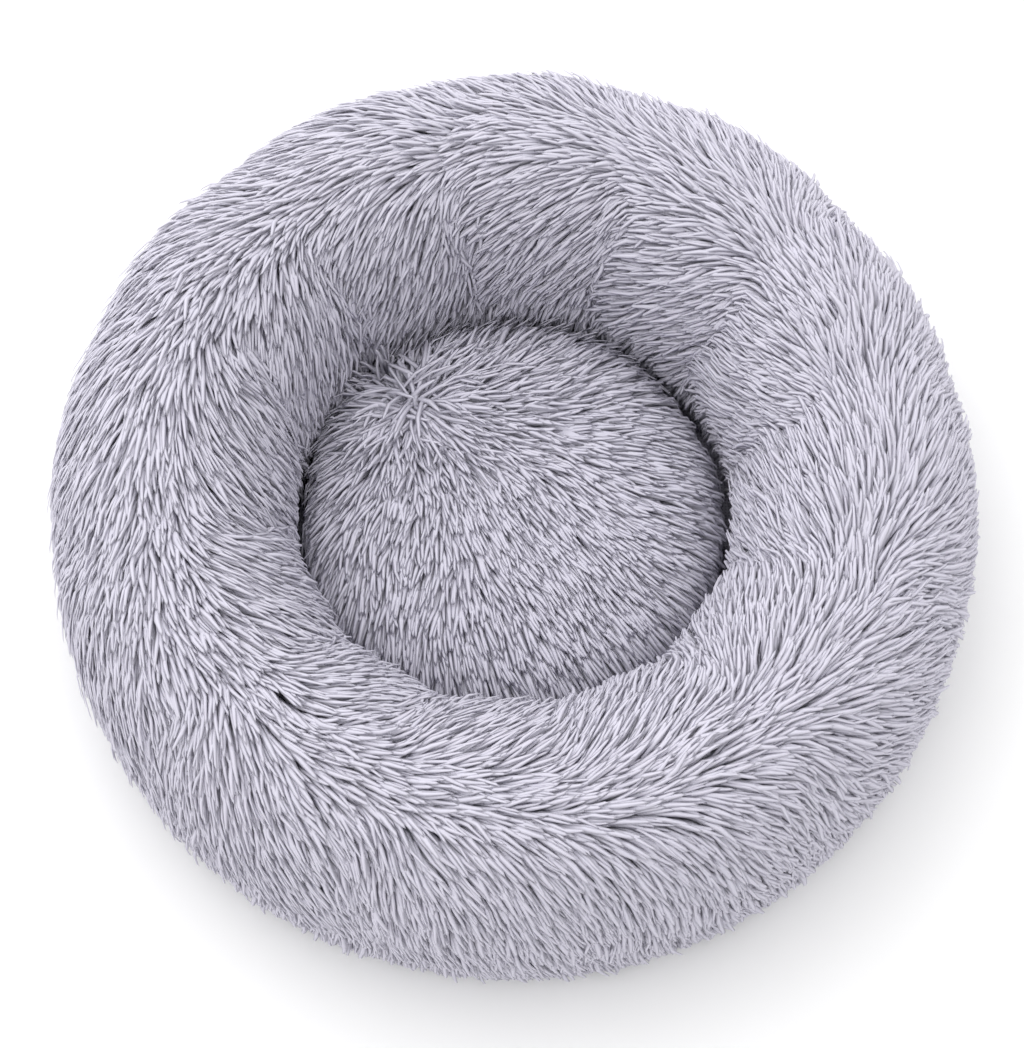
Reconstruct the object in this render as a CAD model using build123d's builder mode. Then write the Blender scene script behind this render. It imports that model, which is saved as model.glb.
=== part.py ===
"""A round plush pet bed: a stuffed fur rim in twelve gores, a lift-out fur cushion and a zipped cover.

Millimetres. +Z is up, and the origin is the centre of the bed on the surface that it stands on.
Angles are in degrees, counted from +X towards +Y.
"""

import os
from math import asin, cos, degrees, radians, sin, sqrt

from build123d import *

os.makedirs("parts", exist_ok=True)

# Rim, measured on the outer face of its cloth. The pile lies outside this.
RIM_RADIUS = 220.0  # centre of the bed to the crest of the rim
HALF_WIDTH = 65.0  # crest line to the widest point, both ways
FOOT_HALF_WIDTH = 52.0  # crest line to the seam at the base, both ways
SHOULDER_HEIGHT = 80.0  # widest point above the ground
CREST_HEIGHT = 175.0  # top of the cloth above the ground
PILE = 15.0  # depth of the lying pile over the cloth
FUR_CLOTH = 1.5  # knitted backing that carries the pile
GORES = 12
FIRST_SEAM = 11.0  # angle of the first seam between two gores

# Inner bag
LINER_EASE = 3.0  # the bag is this much smaller than the cover all round
LINER_CLOTH = 1.0

# Base
DOT_HEIGHT = 0.8
DOT_RADIUS = 3.0
DOT_PITCH = 30.0
DOT_RINGS = 8
BASE_CLOTH = 1.2
FLOOR_LINING = 1.0
BINDING_WIDTH = 1.6

# Zip, in the outer wall of the foot
FIRST_ZIP_GORE = 2  # first of the gores that end above the zip
ZIP_GORES = 4
TAPE_WIDTH = 10.0
TAPE_THICKNESS = 1.2
COIL_WIDTH = 1.5
COIL_GAP = 1.8  # between the two rows of teeth, where the slider's post runs
COIL_PROUD = 1.0  # teeth outside the tape
COIL_INSIDE = 0.6  # teeth inside the tape
CLOSED_STOP_INSET = 4.0  # angle from the end of the tape to the stop, with room for the pull to lie back
OPEN_STOP_INSET = 8.0
STOP_ANGLE = 0.6  # angle that a stop covers
STOP_PROUD = 0.4  # stop outside the teeth

# Slider and pull
SLIDER_LENGTH = 12.0
SLIDER_WIDTH = 9.0
PLATE = 1.0
LIP = 0.8  # folded edge of each plate
POST_LENGTH = 4.0
POST_WIDTH = 0.5
LUG_THICKNESS = 1.2
LUG_LENGTH = 3.4
PIN_RADIUS = 0.6
EYE_RADIUS = 1.3
EYE_WIDTH = 3.6
PULL_LENGTH = 20.0  # pin to tip
PULL_WIDTH = 6.0
PULL_THICKNESS = 1.2
PULL_HOLE_RADIUS = 1.4

# Cushion
CUSHION_GAP = 2.0  # between the cushion's pile and the rim's
CUSHION_SEAM_HEIGHT = 42.0  # edge seam above the ground
CUSHION_RISE = 44.0  # edge seam to the top of the pile
CUSHION_CROWN_RADIUS = 50.0  # flat middle of the top
CUSHION_EDGE_PILE = 12.0
CUSHION_CLOTH = 1.0
CUSHION_FLAT_RADIUS = 95.0  # flat part of the underside
PIPING_RADIUS = 1.8
LABEL_WIDTH = 22.0
LABEL_LENGTH = 26.0
LABEL_THICKNESS = 0.6
LABEL_ANGLE = 250.0

# Clearances
SLIDE_GAP = 0.3  # between pieces that slide past each other
PIN_GAP = 0.05  # round the slider's pin
SEWN_GAP = 0.05  # between the label and the cloth that it hangs on

# Worked out from the sizes above
GORE_ANGLE = 360.0 / GORES
FOOT_HEIGHT = DOT_HEIGHT + BASE_CLOTH + FLOOR_LINING
FOOT_RADIUS = RIM_RADIUS + FOOT_HALF_WIDTH
WELL_RADIUS = RIM_RADIUS - HALF_WIDTH - PILE
BAG_SWELL = -FUR_CLOTH - LINER_EASE
LOWER_TAPE_TOP = FOOT_HEIGHT + TAPE_WIDTH
UPPER_TAPE_FOOT = LOWER_TAPE_TOP + 2 * COIL_WIDTH + COIL_GAP
ZIP_TOP = UPPER_TAPE_FOOT + TAPE_WIDTH
ZIP_MIDDLE = (LOWER_TAPE_TOP + UPPER_TAPE_FOOT) / 2
ZIP_START = FIRST_SEAM + (FIRST_ZIP_GORE - 1) * GORE_ANGLE
ZIP_SWEEP = ZIP_GORES * GORE_ANGLE
WALL_LEAN = HALF_WIDTH - FOOT_HALF_WIDTH
WALL_DROP = SHOULDER_HEIGHT - FOOT_HEIGHT
WALL_BEND = (WALL_LEAN**2 + WALL_DROP**2) / (2 * WALL_LEAN)  # radius of the wall's curve below the shoulder


def upright(angle):
    """Upright plane through the bed's axis, with its x axis pointing out at an angle."""
    turn = radians(angle)
    return Plane((0, 0, 0), x_dir=(cos(turn), sin(turn), 0), z_dir=(sin(turn), -cos(turn), 0))


def outline(swell, foot=FOOT_HEIGHT):
    """The rim's section, grown by swell all round: half an ellipse over two curved walls."""
    half = HALF_WIDTH + swell
    foot_half = FOOT_HALF_WIDTH + swell
    inner_foot = (RIM_RADIUS - foot_half, foot)
    outer_foot = (RIM_RADIUS + foot_half, foot)
    crest_rise = CREST_HEIGHT + swell - SHOULDER_HEIGHT
    with BuildSketch() as section:
        with BuildLine():
            EllipticalCenterArc((RIM_RADIUS, SHOULDER_HEIGHT), half, crest_rise, 0, arc_size=180)
            TangentArc((RIM_RADIUS - half, SHOULDER_HEIGHT), inner_foot, tangent=(0, -1))
            Line(inner_foot, outer_foot)
            TangentArc((RIM_RADIUS + half, SHOULDER_HEIGHT), outer_foot, tangent=(0, -1))
        make_face()
    return section.sketch


def wall_strip(outside, inside, low, high):
    """Section of the rim's outer wall between two swells and two heights."""
    with BuildSketch() as strip:
        add(outline(outside))
        add(outline(inside), mode=Mode.SUBTRACT)
        with Locations((RIM_RADIUS, low)):
            Rectangle(2 * HALF_WIDTH, high - low, align=(Align.MIN, Align.MIN), mode=Mode.INTERSECT)
    return strip.sketch


def save(piece, name):
    piece.part.label = name
    export_step(piece.part, f"parts/{name}.step")


def gore(number):
    """One gore of the fur cover: the pile's outer face down to the cloth's inner face."""
    over_zip = FIRST_ZIP_GORE <= number < FIRST_ZIP_GORE + ZIP_GORES
    with BuildPart() as rim_panel:
        with BuildSketch(upright(FIRST_SEAM + (number - 1) * GORE_ANGLE)):
            add(outline(PILE))
            add(outline(-FUR_CLOTH), mode=Mode.SUBTRACT)
            if over_zip:
                with Locations((RIM_RADIUS, FOOT_HEIGHT)):
                    Rectangle(
                        2 * HALF_WIDTH,
                        ZIP_TOP - FOOT_HEIGHT,
                        align=(Align.MIN, Align.MIN),
                        mode=Mode.SUBTRACT,
                    )
        revolve(axis=Axis.Z, revolution_arc=GORE_ANGLE)
    save(rim_panel, f"rim_panel_{number:02d}")


def rim_inside():
    """The closed inner bag and the fibre in it."""
    with BuildPart() as rim_liner:
        with BuildSketch(Plane.XZ):
            add(outline(BAG_SWELL))
            add(outline(BAG_SWELL - LINER_CLOTH, FOOT_HEIGHT + LINER_CLOTH), mode=Mode.SUBTRACT)
        revolve(axis=Axis.Z)
    save(rim_liner, "rim_liner")

    with BuildPart() as rim_filling:
        with BuildSketch(Plane.XZ):
            add(outline(BAG_SWELL - LINER_CLOTH, FOOT_HEIGHT + LINER_CLOTH))
        revolve(axis=Axis.Z)
    save(rim_filling, "rim_filling")


def base():
    """Grip dots, two layers of cloth and the tape that binds their edge."""
    with BuildPart() as grip_dots:
        with BuildSketch():
            Circle(DOT_RADIUS)
            for ring in range(1, DOT_RINGS + 1):
                with PolarLocations(ring * DOT_PITCH, 6 * ring):
                    Circle(DOT_RADIUS)
        extrude(amount=DOT_HEIGHT)
    save(grip_dots, "grip_dots")

    with BuildPart() as base_cloth:
        with BuildSketch(Plane.XY.offset(DOT_HEIGHT)):
            Circle(FOOT_RADIUS)
        extrude(amount=BASE_CLOTH)
    save(base_cloth, "base_cloth")

    with BuildPart() as floor_lining:
        with BuildSketch(Plane.XY.offset(DOT_HEIGHT + BASE_CLOTH)):
            Circle(FOOT_RADIUS)
        extrude(amount=FLOOR_LINING)
    save(floor_lining, "floor_lining")

    with BuildPart() as base_binding:
        with BuildSketch(Plane.XY.offset(DOT_HEIGHT)):
            Circle(FOOT_RADIUS + BINDING_WIDTH)
            Circle(FOOT_RADIUS, mode=Mode.SUBTRACT)
        extrude(amount=BASE_CLOTH + FLOOR_LINING)
        outer_edges = base_binding.edges().filter_by(GeomType.CIRCLE).sort_by(SortBy.RADIUS)[-2:]
        fillet(outer_edges, BINDING_WIDTH / 3)
    save(base_binding, "base_binding")


def zip_strip(name, section, start, sweep):
    """A piece of the zip that follows the wall from one angle over a sweep."""
    with BuildPart() as strip:
        with BuildSketch(upright(start)):
            add(section)
        revolve(axis=Axis.Z, revolution_arc=sweep)
    save(strip, name)


def zip_tape_and_teeth():
    """Two tapes, a row of teeth on each, and a stop at each end of the rows."""
    tape_in = -TAPE_THICKNESS
    teeth_in = -TAPE_THICKNESS - COIL_INSIDE
    zip_strip("zip_tape_lower", wall_strip(0, tape_in, FOOT_HEIGHT, LOWER_TAPE_TOP), ZIP_START, ZIP_SWEEP)
    zip_strip("zip_tape_upper", wall_strip(0, tape_in, UPPER_TAPE_FOOT, ZIP_TOP), ZIP_START, ZIP_SWEEP)

    teeth_start = ZIP_START + CLOSED_STOP_INSET + STOP_ANGLE
    teeth_end = ZIP_START + ZIP_SWEEP - OPEN_STOP_INSET - STOP_ANGLE
    lower_row = wall_strip(COIL_PROUD, teeth_in, LOWER_TAPE_TOP, LOWER_TAPE_TOP + COIL_WIDTH)
    upper_row = wall_strip(COIL_PROUD, teeth_in, UPPER_TAPE_FOOT - COIL_WIDTH, UPPER_TAPE_FOOT)
    zip_strip("zip_coil_lower", lower_row, teeth_start, teeth_end - teeth_start)
    zip_strip("zip_coil_upper", upper_row, teeth_start, teeth_end - teeth_start)

    stop = wall_strip(COIL_PROUD + STOP_PROUD, teeth_in, LOWER_TAPE_TOP, UPPER_TAPE_FOOT)
    zip_strip("zip_stop_closed", stop, teeth_start - STOP_ANGLE, STOP_ANGLE)
    zip_strip("zip_stop_open", stop, teeth_end, STOP_ANGLE)


def slider_plane():
    """Plane on the wall at the closed end: x along the tape away from the stop, y up, z outwards."""
    radius = RIM_RADIUS + HALF_WIDTH - WALL_BEND + sqrt(WALL_BEND**2 - (SHOULDER_HEIGHT - ZIP_MIDDLE) ** 2)
    lean = asin((SHOULDER_HEIGHT - ZIP_MIDDLE) / WALL_BEND)
    from_stop = degrees((SLIDER_LENGTH / 2 + SLIDE_GAP) / radius)
    turn = radians(ZIP_START + CLOSED_STOP_INSET + STOP_ANGLE + from_stop)
    return Plane(
        (radius * cos(turn), radius * sin(turn), ZIP_MIDDLE),
        x_dir=(-sin(turn), cos(turn), 0),
        z_dir=(cos(lean) * cos(turn), cos(lean) * sin(turn), -sin(lean)),
    )


def zip_slider_and_pull():
    """The slider, in two lipped plates joined by a post, and the tab on its pin."""
    place = slider_plane()
    across = Plane(place.origin, x_dir=place.x_dir, z_dir=place.y_dir)  # its y axis points inwards
    outer_face = COIL_PROUD + SLIDE_GAP + PLATE
    inner_face = -TAPE_THICKNESS - COIL_INSIDE - SLIDE_GAP - PLATE
    pin_height = outer_face + SLIDE_GAP + EYE_RADIUS
    lug_place = EYE_WIDTH / 2 + SLIDE_GAP + LUG_THICKNESS / 2
    lip_place = SLIDER_WIDTH / 2 - LIP / 2
    lip_length = SLIDER_LENGTH - SLIDER_WIDTH / 2
    outer_lip = outer_face - SLIDE_GAP
    inner_lip = -TAPE_THICKNESS - SLIDE_GAP - inner_face

    with BuildPart() as zip_slider:
        for face, plate, lip in ((outer_face, -PLATE, -outer_lip), (inner_face, PLATE, inner_lip)):
            with BuildSketch(place.offset(face)):
                RectangleRounded(SLIDER_LENGTH, SLIDER_WIDTH, SLIDER_WIDTH / 4)
            extrude(amount=plate)
            with BuildSketch(place.offset(face)):
                with Locations((0, -lip_place), (0, lip_place)):
                    Rectangle(lip_length, LIP)
            extrude(amount=lip)
        with BuildSketch(place.offset(inner_face)):
            Rectangle(POST_LENGTH, POST_WIDTH)
        extrude(amount=outer_face - inner_face)
        with BuildSketch(place.offset(outer_face)):
            with Locations((0, -lug_place), (0, lug_place)):
                Rectangle(LUG_LENGTH, LUG_THICKNESS)
        extrude(amount=pin_height - outer_face + LUG_LENGTH / 2)
        with BuildSketch(across.offset(-lug_place)):
            with Locations((0, -pin_height)):
                Circle(PIN_RADIUS)
        extrude(amount=2 * lug_place)
    save(zip_slider, "zip_slider")

    with BuildPart() as zip_pull:
        with BuildSketch(across.offset(-EYE_WIDTH / 2)):
            with Locations((0, -pin_height)):
                Circle(EYE_RADIUS)
        extrude(amount=EYE_WIDTH)
        with BuildSketch(place.offset(pin_height - PULL_THICKNESS / 2)):
            Rectangle(PULL_LENGTH / 2, EYE_WIDTH, align=(Align.MIN, Align.CENTER))
            with Locations((PULL_LENGTH * 2 / 3, 0)):
                RectangleRounded(PULL_LENGTH * 2 / 3, PULL_WIDTH, PULL_WIDTH / 3)
            with Locations((PULL_LENGTH - PULL_WIDTH / 2, 0)):
                Circle(PULL_HOLE_RADIUS, mode=Mode.SUBTRACT)
        extrude(amount=PULL_THICKNESS)
        with BuildSketch(across.offset(-EYE_WIDTH / 2)):
            with Locations((0, -pin_height)):
                Circle(PIN_RADIUS + PIN_GAP)
        extrude(amount=EYE_WIDTH, mode=Mode.SUBTRACT)
    save(zip_pull, "zip_pull")


def cushion_dome(radius, rise):
    """Upper half of the cushion's section."""
    top = CUSHION_SEAM_HEIGHT + rise
    shoulder = radius - CUSHION_CROWN_RADIUS
    with BuildSketch() as dome:
        with BuildLine():
            Line((radius, CUSHION_SEAM_HEIGHT), (0, CUSHION_SEAM_HEIGHT))
            Line((0, CUSHION_SEAM_HEIGHT), (0, top))
            Line((0, top), (CUSHION_CROWN_RADIUS, top))
            EllipticalCenterArc((CUSHION_CROWN_RADIUS, CUSHION_SEAM_HEIGHT), shoulder, rise, 0, arc_size=90)
        make_face()
    return dome.sketch


def cushion_dish(radius, inset):
    """Lower half of the cushion's section, with its walls inset by a cloth's thickness."""
    bottom = FOOT_HEIGHT + SLIDE_GAP + inset
    edge = radius - inset
    turn_width = edge - CUSHION_FLAT_RADIUS
    turn_height = CUSHION_SEAM_HEIGHT - bottom
    with BuildSketch() as dish:
        with BuildLine():
            Line((edge, CUSHION_SEAM_HEIGHT), (0, CUSHION_SEAM_HEIGHT))
            Line((0, CUSHION_SEAM_HEIGHT), (0, bottom))
            Line((0, bottom), (CUSHION_FLAT_RADIUS, bottom))
            EllipticalCenterArc(
                (CUSHION_FLAT_RADIUS, CUSHION_SEAM_HEIGHT), turn_width, turn_height, -90, arc_size=90
            )
        make_face()
    return dish.sketch


def cushion():
    """The lift-out cushion: fur top, plain underside, piped edge seam, fibre and a blank care label."""
    pile_radius = WELL_RADIUS - CUSHION_GAP
    seam_radius = pile_radius - CUSHION_EDGE_PILE
    with BuildSketch() as cord:
        with Locations((seam_radius, CUSHION_SEAM_HEIGHT)):
            Circle(PIPING_RADIUS)

    with BuildPart() as cushion_top:
        with BuildSketch(Plane.XZ):
            add(cushion_dome(pile_radius, CUSHION_RISE))
            add(cushion_dome(seam_radius - FUR_CLOTH, CUSHION_RISE - PILE - FUR_CLOTH), mode=Mode.SUBTRACT)
            add(cord.sketch, mode=Mode.SUBTRACT)
        revolve(axis=Axis.Z)
    save(cushion_top, "cushion_top")

    with BuildPart() as cushion_bottom:
        with BuildSketch(Plane.XZ):
            add(cushion_dish(seam_radius, 0))
            add(cushion_dish(seam_radius, CUSHION_CLOTH), mode=Mode.SUBTRACT)
            add(cord.sketch, mode=Mode.SUBTRACT)
        revolve(axis=Axis.Z)
    save(cushion_bottom, "cushion_bottom")

    with BuildPart() as cushion_filling:
        with BuildSketch(Plane.XZ):
            add(cushion_dome(seam_radius - FUR_CLOTH, CUSHION_RISE - PILE - FUR_CLOTH))
            add(cushion_dish(seam_radius, CUSHION_CLOTH))
            add(cord.sketch, mode=Mode.SUBTRACT)
        revolve(axis=Axis.Z)
    save(cushion_filling, "cushion_filling")

    with BuildPart() as cushion_piping:
        with BuildSketch(Plane.XZ):
            add(cord.sketch)
        revolve(axis=Axis.Z)
    save(cushion_piping, "cushion_piping")

    with BuildPart() as care_label:
        with BuildSketch(Plane.XY.offset(CUSHION_SEAM_HEIGHT - PIPING_RADIUS)):
            with PolarLocations(seam_radius + SEWN_GAP + LABEL_THICKNESS / 2, 1, start_angle=LABEL_ANGLE):
                Rectangle(LABEL_THICKNESS, LABEL_WIDTH)
        extrude(amount=-LABEL_LENGTH)
    save(care_label, "care_label")


for gore_number in range(1, GORES + 1):
    gore(gore_number)
rim_inside()
base()
zip_tape_and_teeth()
zip_slider_and_pull()
cushion()
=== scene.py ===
"""A round plush pet bed: a rim of twelve fur gores, a lift-out fur cushion, and a zip low at the back.

Metres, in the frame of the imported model. The cloth of the rim and of the cushion is blown up by cloth
simulation. The long pile is modelled lock by lock: each lock is a closed, tapered tuft that starts on the
cloth, rises through the pile and lies down along the nap.
"""

import math

import bmesh
import bpy
import numpy as np
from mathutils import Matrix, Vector


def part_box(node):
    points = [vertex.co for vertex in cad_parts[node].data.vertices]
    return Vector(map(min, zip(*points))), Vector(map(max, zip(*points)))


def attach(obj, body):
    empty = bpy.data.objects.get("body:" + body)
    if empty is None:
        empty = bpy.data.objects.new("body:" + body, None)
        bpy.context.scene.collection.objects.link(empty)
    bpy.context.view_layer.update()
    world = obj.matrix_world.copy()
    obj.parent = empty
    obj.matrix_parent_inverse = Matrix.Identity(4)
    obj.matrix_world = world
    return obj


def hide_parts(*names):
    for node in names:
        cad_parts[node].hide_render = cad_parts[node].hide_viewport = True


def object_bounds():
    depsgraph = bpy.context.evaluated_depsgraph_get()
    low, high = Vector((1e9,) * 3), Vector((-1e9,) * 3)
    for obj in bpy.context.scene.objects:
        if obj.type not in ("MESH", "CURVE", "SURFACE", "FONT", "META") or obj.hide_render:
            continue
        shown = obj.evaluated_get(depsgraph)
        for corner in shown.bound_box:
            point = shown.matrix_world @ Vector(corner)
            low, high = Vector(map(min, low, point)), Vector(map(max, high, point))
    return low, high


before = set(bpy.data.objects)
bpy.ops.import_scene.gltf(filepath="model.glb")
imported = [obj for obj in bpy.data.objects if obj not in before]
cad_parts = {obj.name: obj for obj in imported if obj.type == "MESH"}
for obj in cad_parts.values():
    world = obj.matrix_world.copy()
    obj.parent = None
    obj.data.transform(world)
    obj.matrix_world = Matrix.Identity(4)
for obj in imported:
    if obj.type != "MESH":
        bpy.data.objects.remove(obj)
cad_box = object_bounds()

# Sizes of the bed, read from the frame
BED_RADIUS = cad_box[1][0]
BED_HEIGHT = cad_box[1][2]
FOOT_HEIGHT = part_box("floor_lining")[1].z
FOOT_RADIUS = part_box("base_cloth")[1].x
CUSHION_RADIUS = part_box("cushion_top")[1].x
CUSHION_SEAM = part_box("cushion_top")[0].z
CUSHION_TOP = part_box("cushion_top")[1].z
CUSHION_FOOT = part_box("cushion_bottom")[0].z
ZIP_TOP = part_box("zip_tape_upper")[1].z

# Sizes of the cover
PILE = 0.015
FUR_CLOTH = 0.0012
CUSHION_GAP = 0.002
RIM_RADIUS = (BED_RADIUS + CUSHION_RADIUS + CUSHION_GAP) / 2
HALF_WIDTH = BED_RADIUS - PILE - RIM_RADIUS
FOOT_HALF_WIDTH = FOOT_RADIUS - RIM_RADIUS
SHOULDER_HEIGHT = 0.080
CREST_HEIGHT = BED_HEIGHT - PILE
GORES = 12
FIRST_SEAM = math.radians(11)
GORE_ANGLE = 2 * math.pi / GORES
ZIP_GORES = (2, 3, 4, 5)
SEAM_RADIUS = CUSHION_RADIUS - 0.012
CUSHION_CROWN = 0.050
CUSHION_FLAT = 0.095
CUSHION_PILE = 0.015
UNDERSIDE_CLOTH = 0.001

rng = np.random.default_rng(20)


# ---- meshes


def add_piece(name, mesh):
    piece = bpy.data.objects.new(name, mesh)
    bpy.context.scene.collection.objects.link(piece)
    return piece


def mesh_piece(name, points, faces):
    mesh = bpy.data.meshes.new(name)
    mesh.from_pydata(np.asarray(points).tolist(), [], faces)
    mesh.polygons.foreach_set("use_smooth", np.ones(len(mesh.polygons), bool))
    return add_piece(name, mesh)


def dress(piece, material):
    """Gives a piece or a node of the frame its only material."""
    piece.data.materials.clear()
    piece.data.materials.append(material)


def finish_piece(piece, body, slot, material, *nodes):
    """Gives a piece its material and its body, and hides the nodes of the frame that it stands for. Its slot
    is not used.
    """
    dress(piece, material)
    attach(piece, body)
    if nodes:
        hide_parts(*nodes)
    return piece


def grid_faces(columns, rows, round_first, round_second):
    """Quads of a grid of points, columns by rows, that may close on itself either way."""
    index = np.arange(columns * rows).reshape(columns, rows)
    a = index if round_first else index[:-1]
    right = np.roll(index, -1, axis=0) if round_first else index[1:]
    low, low_right = (a, right) if round_second else (a[:, :-1], right[:, :-1])
    high = np.roll(a, -1, axis=1) if round_second else a[:, 1:]
    high_right = np.roll(right, -1, axis=1) if round_second else right[:, 1:]
    return np.stack([low, high, high_right, low_right], axis=-1).reshape(-1, 4).tolist()


def slab_faces(columns, rows):
    """Faces of a closed slab: an upper grid of points, then a lower one, joined round their edges."""
    upper = np.array(grid_faces(columns, rows, False, False))
    lower = upper[:, ::-1] + columns * rows
    index = np.arange(columns * rows).reshape(columns, rows)
    edge = np.concatenate([index[:-1, 0], index[-1, :-1], index[:0:-1, -1], index[0, :0:-1]])
    after = np.roll(edge, -1)
    rim = np.stack([edge, after, after + columns * rows, edge + columns * rows], axis=-1)
    return np.concatenate([upper, lower, rim]).tolist()


def grid_normals(points, round_second=False):
    """Outward normals of a grid whose first axis closes on itself."""
    along = np.roll(points, -1, axis=0) - np.roll(points, 1, axis=0)
    if round_second:
        up = np.roll(points, -1, axis=1) - np.roll(points, 1, axis=1)
    else:
        up = np.gradient(points, axis=1)
    normal = np.cross(up, along)
    return normal / np.maximum(np.linalg.norm(normal, axis=2, keepdims=True), 1e-12)


def polar_shell(grid):
    """Points and faces of a grid that closes round the bed and ends in two poles."""
    columns, rows = grid.shape[:2]
    faces = grid_faces(columns, rows, True, False)
    ends, pole = np.arange(columns) * rows, columns * rows
    after = np.roll(ends, -1)
    faces += np.stack([ends, after, np.full_like(ends, pole)], axis=1).tolist()
    faces += np.stack([after + rows - 1, ends + rows - 1, np.full_like(ends, pole + 1)], axis=1).tolist()
    return np.concatenate([grid.reshape(-1, 3), [grid[:, 0].mean(axis=0), grid[:, -1].mean(axis=0)]]), faces


def polar_piece(name, grid):
    return mesh_piece(name, *polar_shell(grid))


def inflate(piece, held, pressure, frames, cap):
    """Blows a closed mesh up with cloth simulation, held at some points, and caps how far points move."""
    before = np.array([v.co for v in piece.data.vertices])
    pins = piece.vertex_groups.new(name="held")
    for weight in np.unique(held[held > 0]):
        pins.add([int(i) for i in np.flatnonzero(held == weight)], float(weight), "REPLACE")
    cloth = piece.modifiers.new("stuffed", "CLOTH")
    settings = {
        "vertex_group_mass": "held", "quality": 4, "mass": 0.3, "tension_stiffness": 12,
        "compression_stiffness": 12, "shear_stiffness": 4, "bending_stiffness": 0.4,
        "use_pressure": True, "uniform_pressure_force": pressure,
    }
    for setting, value in settings.items():
        setattr(cloth.settings, setting, value)
    cloth.settings.effector_weights.gravity = 0
    cloth.point_cache.frame_start = 1
    cloth.point_cache.frame_end = frames
    for step in range(1, frames + 1):
        bpy.context.scene.frame_set(step)
    posed = piece.evaluated_get(bpy.context.evaluated_depsgraph_get()).data
    moved = np.array([v.co for v in posed.vertices]) - before
    far = np.linalg.norm(moved, axis=1, keepdims=True)
    bpy.context.scene.frame_set(1)
    bpy.data.objects.remove(piece)
    return before + moved * np.minimum(1, cap / np.maximum(far, 1e-9))


def lattice_noise(x, y, seed, period=None):
    """Smooth noise from -1 to 1 over whole numbers, which can repeat round the bed."""
    table = np.random.default_rng(seed).uniform(-1, 1, (256, 256))
    x0, y0 = np.floor(x).astype(int), np.floor(y).astype(int)
    fx, fy = x - x0, y - y0
    fx, fy = fx * fx * (3 - 2 * fx), fy * fy * (3 - 2 * fy)
    x1 = x0 + 1
    if period:
        x0, x1 = x0 % period, x1 % period
    low = table[x0 % 256, y0 % 256] * (1 - fx) + table[x1 % 256, y0 % 256] * fx
    high = table[x0 % 256, (y0 + 1) % 256] * (1 - fx) + table[x1 % 256, (y0 + 1) % 256] * fx
    return low * (1 - fy) + high * fy


def round_bed(angle, radius, height):
    """Points at angles round the bed, at radii and heights."""
    x, y = np.cos(angle) * radius, np.sin(angle) * radius
    return np.stack([x, y, np.broadcast_to(height, x.shape)], axis=-1)


def between_points(grids, i, j, fu, fv):
    """Each grid's value between four of its points. The first axis closes round the bed."""
    mixed = []
    for grid in grids:
        i0, i1 = i % len(grid), (i + 1) % len(grid)
        low = grid[i0, j] * (1 - fu) + grid[i1, j] * fu
        high = grid[i0, j + 1] * (1 - fu) + grid[i1, j + 1] * fu
        mixed.append(low * (1 - fv) + high * fv)
    return mixed


# ---- the locks of the pile

# Where a lock's rings lie along it and how wide they are, and the size of its three-sided section
RINGS = (0.0, 0.30, 0.62, 0.90)
RING_WIDTH = (0.70, 1.0, 0.95, 0.60)
STOPS = RINGS + (1.0,)
SIDES = 3
LOCK_ACROSS = 0.62
LOCK_THROUGH = 0.17
# Tone strips side by side on the map, the margins that keep a lock inside its strip, and the cloth's patch
SHADES = 48
STRIP_MARGIN = 0.08
END_MARGIN = 0.01
# the backing cloth's patch sits at the root end of the first strip, so the cloth takes the roots' painted
# shade
CLOTH_PATCH = np.array([[0.1, 0.010], [0.9, 0.010], [0.9, 0.035], [0.1, 0.035]]) / [SHADES, 1]
# Mean, spread, least and most of the lengths and widths of the locks
RIM_LOCK_LENGTH = (0.035, 0.0045, 0.023, 0.048)
CUSHION_LOCK_LENGTH = (0.033, 0.0045, 0.022, 0.046)
LOCK_WIDTH = (0.0031, 0.0005, 0.0020, 0.0043)
# Widths of the clumps that tips gather into
RIM_CLUMP = 0.0085
CUSHION_CLUMP = 0.0075
# Spread of the locks off the nap, of their bend and of the edge of a seam, in degrees
STRAY = 4.5
BEND = 5
SEAM_BLUR = 2.2


def lock_template():
    """Faces of one lock and where each corner lies on its tone strip: across it, and from root to tip."""
    tip = len(RINGS) * SIDES
    faces = []
    for ring in range(len(RINGS) - 1):
        for side in range(SIDES):
            after = (side + 1) % SIDES
            low, high = ring * SIDES, (ring + 1) * SIDES
            faces.append((low + side, low + after, high + after, high + side))
    last = tip - SIDES
    faces += [(last + side, last + (side + 1) % SIDES, tip) for side in range(SIDES)]
    faces.append((2, 1, 0))
    corners, places, sizes = [], [], []
    for face in faces:
        first_side = face[0] % SIDES
        for corner in face:
            ring, side = divmod(corner, SIDES)
            if corner == tip:
                places.append(((first_side + 0.5) / SIDES, 1.0))
            elif face == (2, 1, 0):
                places.append((side / SIDES, 0.02 * side))
            else:
                wrapped = SIDES if side == 0 and first_side == SIDES - 1 else side
                places.append((wrapped / SIDES, RINGS[ring]))
            corners.append(corner)
        sizes.append(len(face))
    return np.array(corners), np.array(sizes), np.array(places)


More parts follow.
